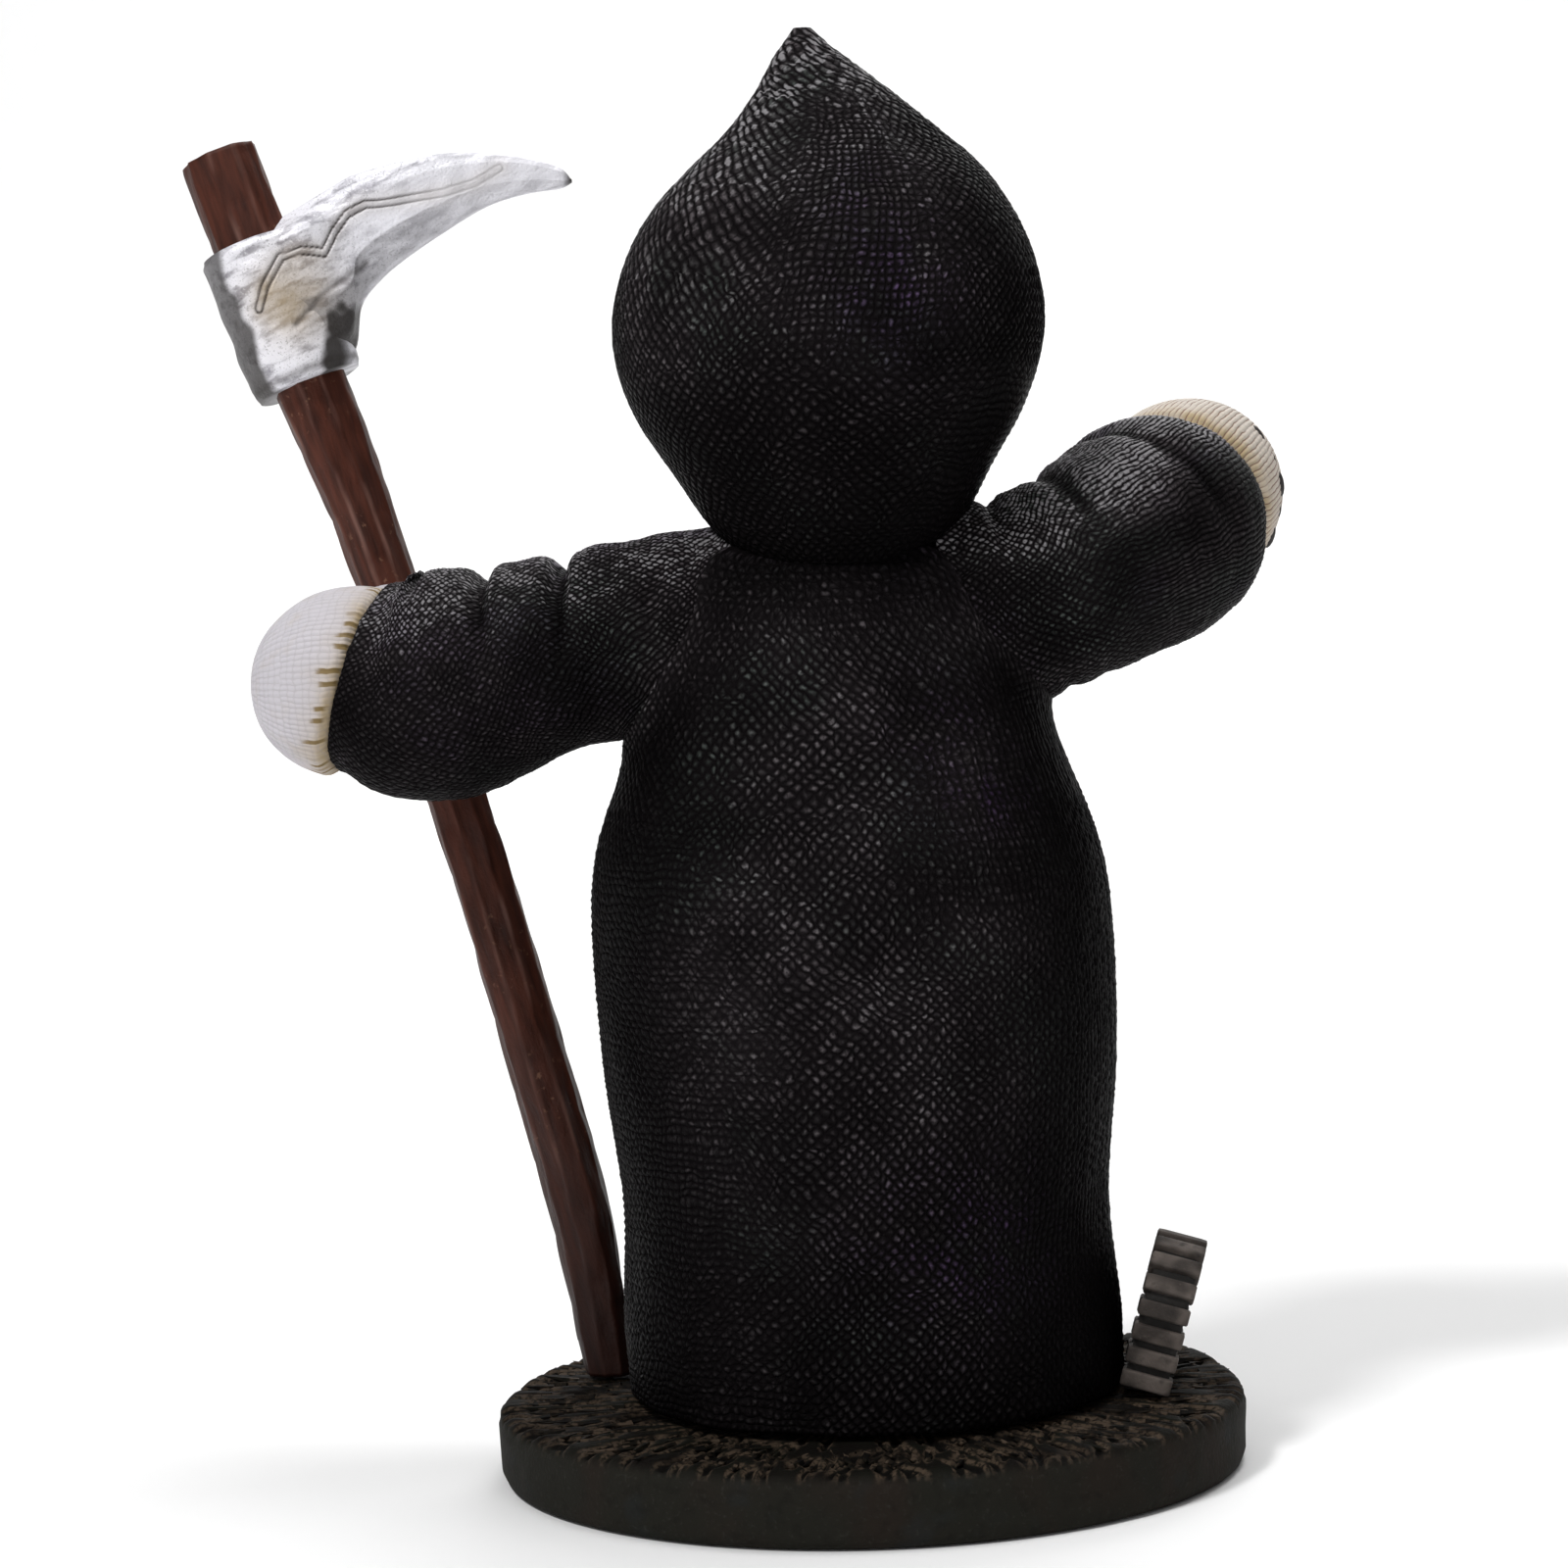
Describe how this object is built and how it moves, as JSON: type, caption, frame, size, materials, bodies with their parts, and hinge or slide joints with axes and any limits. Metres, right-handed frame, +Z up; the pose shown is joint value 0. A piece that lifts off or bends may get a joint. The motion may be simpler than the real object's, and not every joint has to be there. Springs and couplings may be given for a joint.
{
  "type": "grim reaper figurine",
  "caption": "Small painted cast figurine of a hooded reaper doll with a scythe and a leaning gravestone on a round turf base.",
  "frame": {"origin": "middle of the base's flat underside", "axes": "+Z up; the figure faces -Y, its scythe hand towards +X and its raised empty hand towards -X"},
  "size_m": [0.1022, 0.0679, 0.1298],
  "materials": {
    "turf_base": "matt dark green and brown paint on cast resin",
    "black_knit": "satin black paint on a cast knit texture",
    "scythe_paint": "red-brown painted shaft and silver painted blade on cast resin",
    "grey_stone": "matt grey-brown paint on cast resin",
    "cream_knit": "cream paint with ochre washes on the cast hands and face",
    "silver_blade": "silver paint with brown washes on the cast blade"
  },
  "bodies": {
    "root": {"base": "turf_base", "figure": "black_knit", "scythe": "scythe_paint", "gravestone": "grey_stone"}
  },
  "joints": []
}
